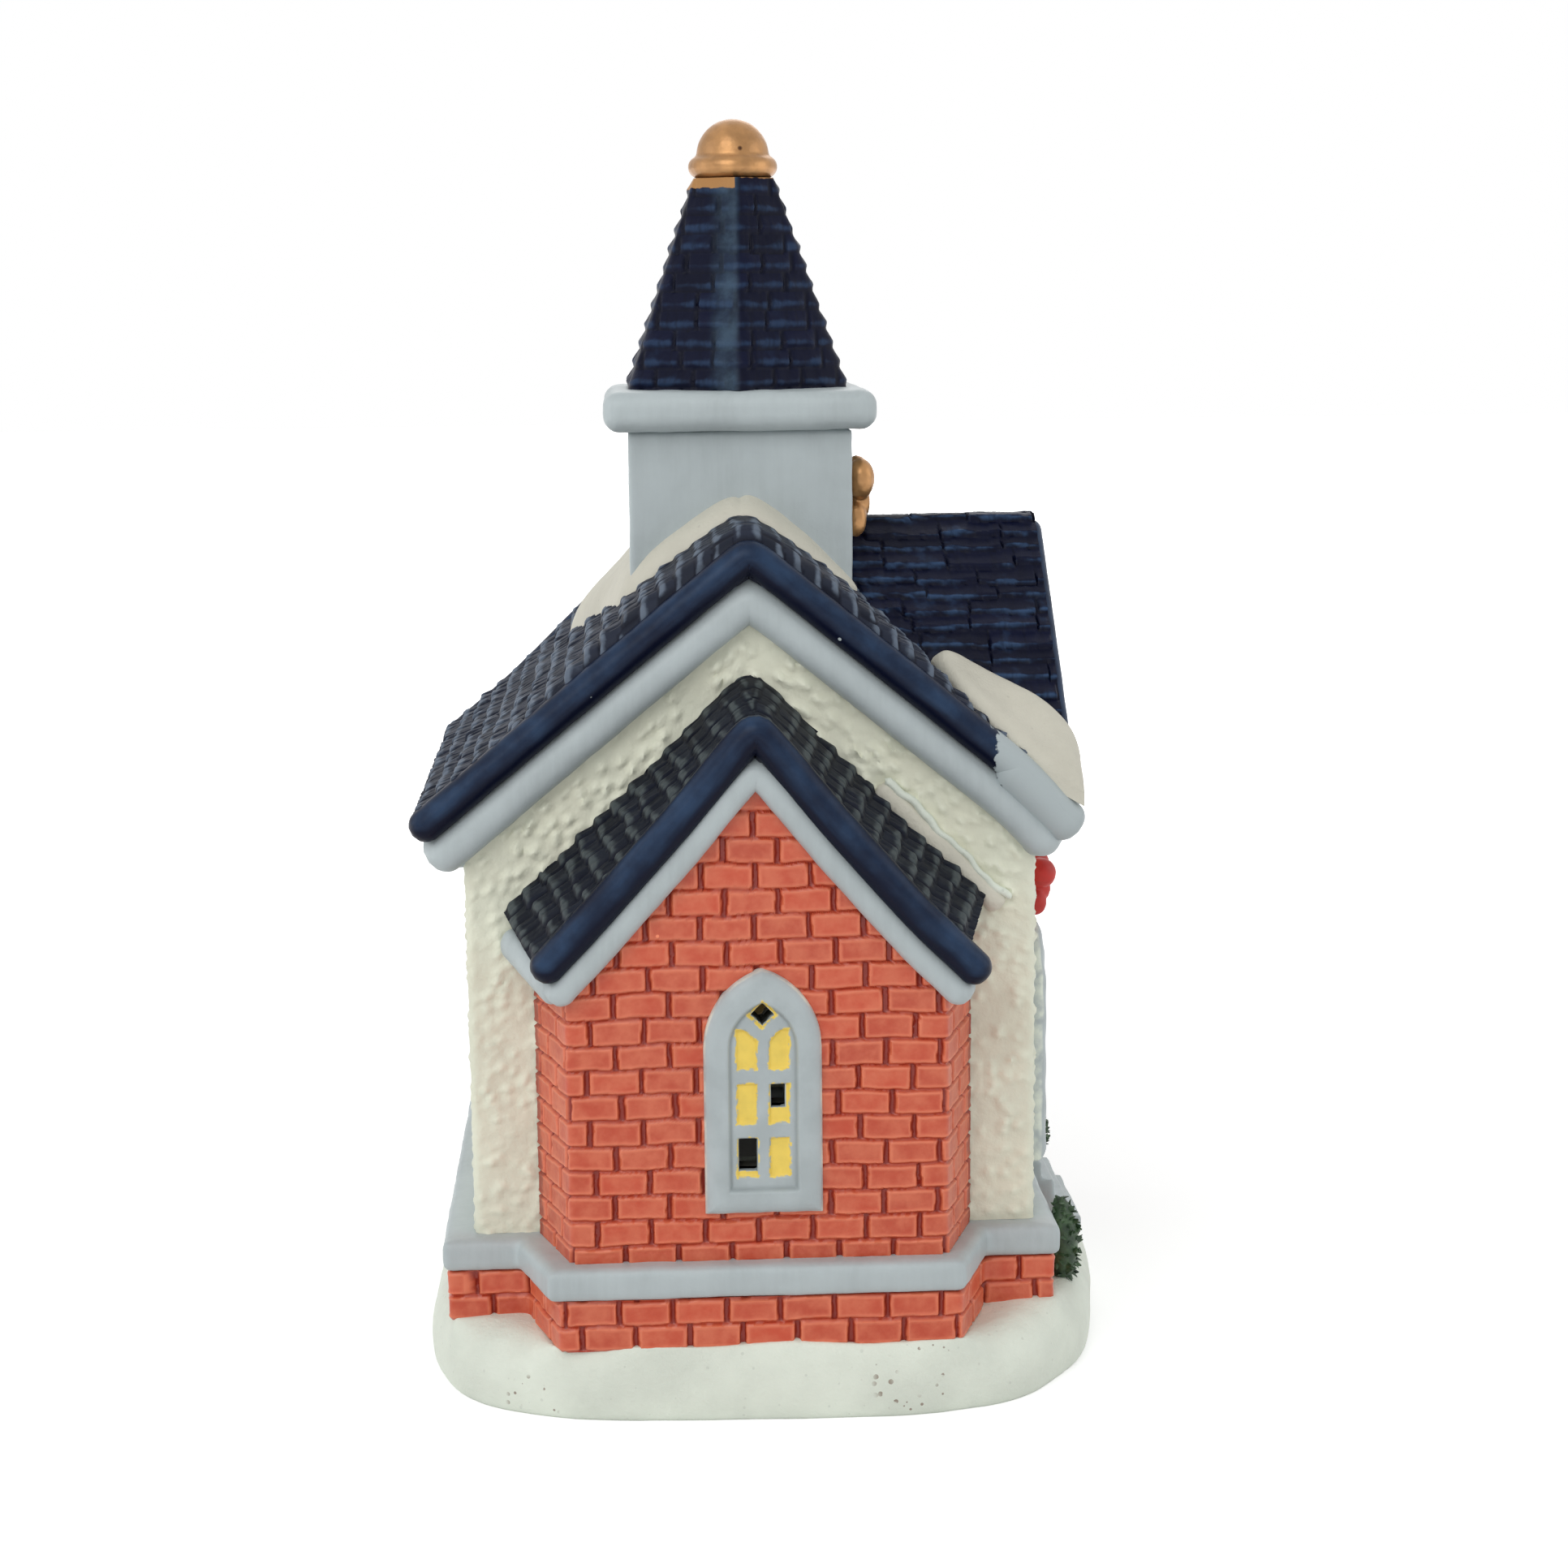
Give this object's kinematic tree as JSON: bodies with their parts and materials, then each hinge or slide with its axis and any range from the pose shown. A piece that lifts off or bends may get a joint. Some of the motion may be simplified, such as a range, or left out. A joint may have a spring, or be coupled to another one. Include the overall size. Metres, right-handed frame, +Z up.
{
  "type": "ceramic christmas village house",
  "caption": "Hollow glazed ceramic church for a Christmas village, with a brick bay, shingled cross gables and a spire, lit through its panes by a clip-in lamp.",
  "frame": {"origin": "middle of the snow base's underside, in the plane it stands on", "axes": "+Z up, +X towards the church front with the steps, -Y towards the flank with the brick bay"},
  "size_m": [0.106, 0.104, 0.1856],
  "materials": {
    "snow_glaze": "satin glaze with a fine grain",
    "brick_paint": "matt brick red, paler on the edges",
    "grey_trim": "satin blue grey",
    "stucco": "matt cream stucco",
    "navy_shingle": "satin navy with brushed highlights",
    "gold_paint": "satin gold paint",
    "window_paint": "grey frame with yellow panes",
    "door_paint": "matt brown",
    "red_paint": "satin red",
    "green_paint": "matt green",
    "lamp_plastic": "satin white",
    "spring_steel": "bright sheet",
    "cap_brass": "bright",
    "bulb_glass": "clear",
    "stem_glass": "clear stem with wires"
  },
  "bodies": {
    "house": {"snow_base": "snow_glaze", "plinth": "brick_paint", "sill_band": "grey_trim", "wall_shell": "stucco", "bay_wall": "brick_paint", "bay_window": "window_paint", "bay_barge_board": "grey_trim", "bay_roof": "navy_shingle", "bay_roof_roll": "navy_shingle", "main_roof": "navy_shingle", "verge_rolls": "navy_shingle", "barge_boards": "grey_trim", "back_window": "window_paint", "front_windows": "window_paint", "door_surround": "grey_trim", "church_door": "door_paint", "front_steps": "grey_trim", "red_bows": "red_paint", "garlands": "green_paint", "bushes": "green_paint", "tower": "grey_trim", "tower_cornice": "grey_trim", "spire": "navy_shingle", "finial": "gold_paint", "gold_bow": "gold_paint", "tower_snow": "snow_glaze", "corner_drift": "snow_glaze"},
    "lamp": {"lamp_holder": "lamp_plastic", "lamp_springs": "spring_steel"},
    "bulb": {"bulb_cap": "cap_brass", "bulb_glass": "bulb_glass", "bulb_filament": "stem_glass"}
  },
  "joints": [
    {"name": "lamp_pull", "type": "slide", "parent": "house", "child": "lamp", "axis": [0, 1, 0], "range_m": [0, 0.075], "deforming": ["lamp_springs"]},
    {"name": "bulb_turn", "type": "hinge", "parent": "lamp", "child": "bulb", "pos_m": [-0.0036, 0.0297, 0.045], "axis": [0, 1, 0], "continuous": true}
  ]
}
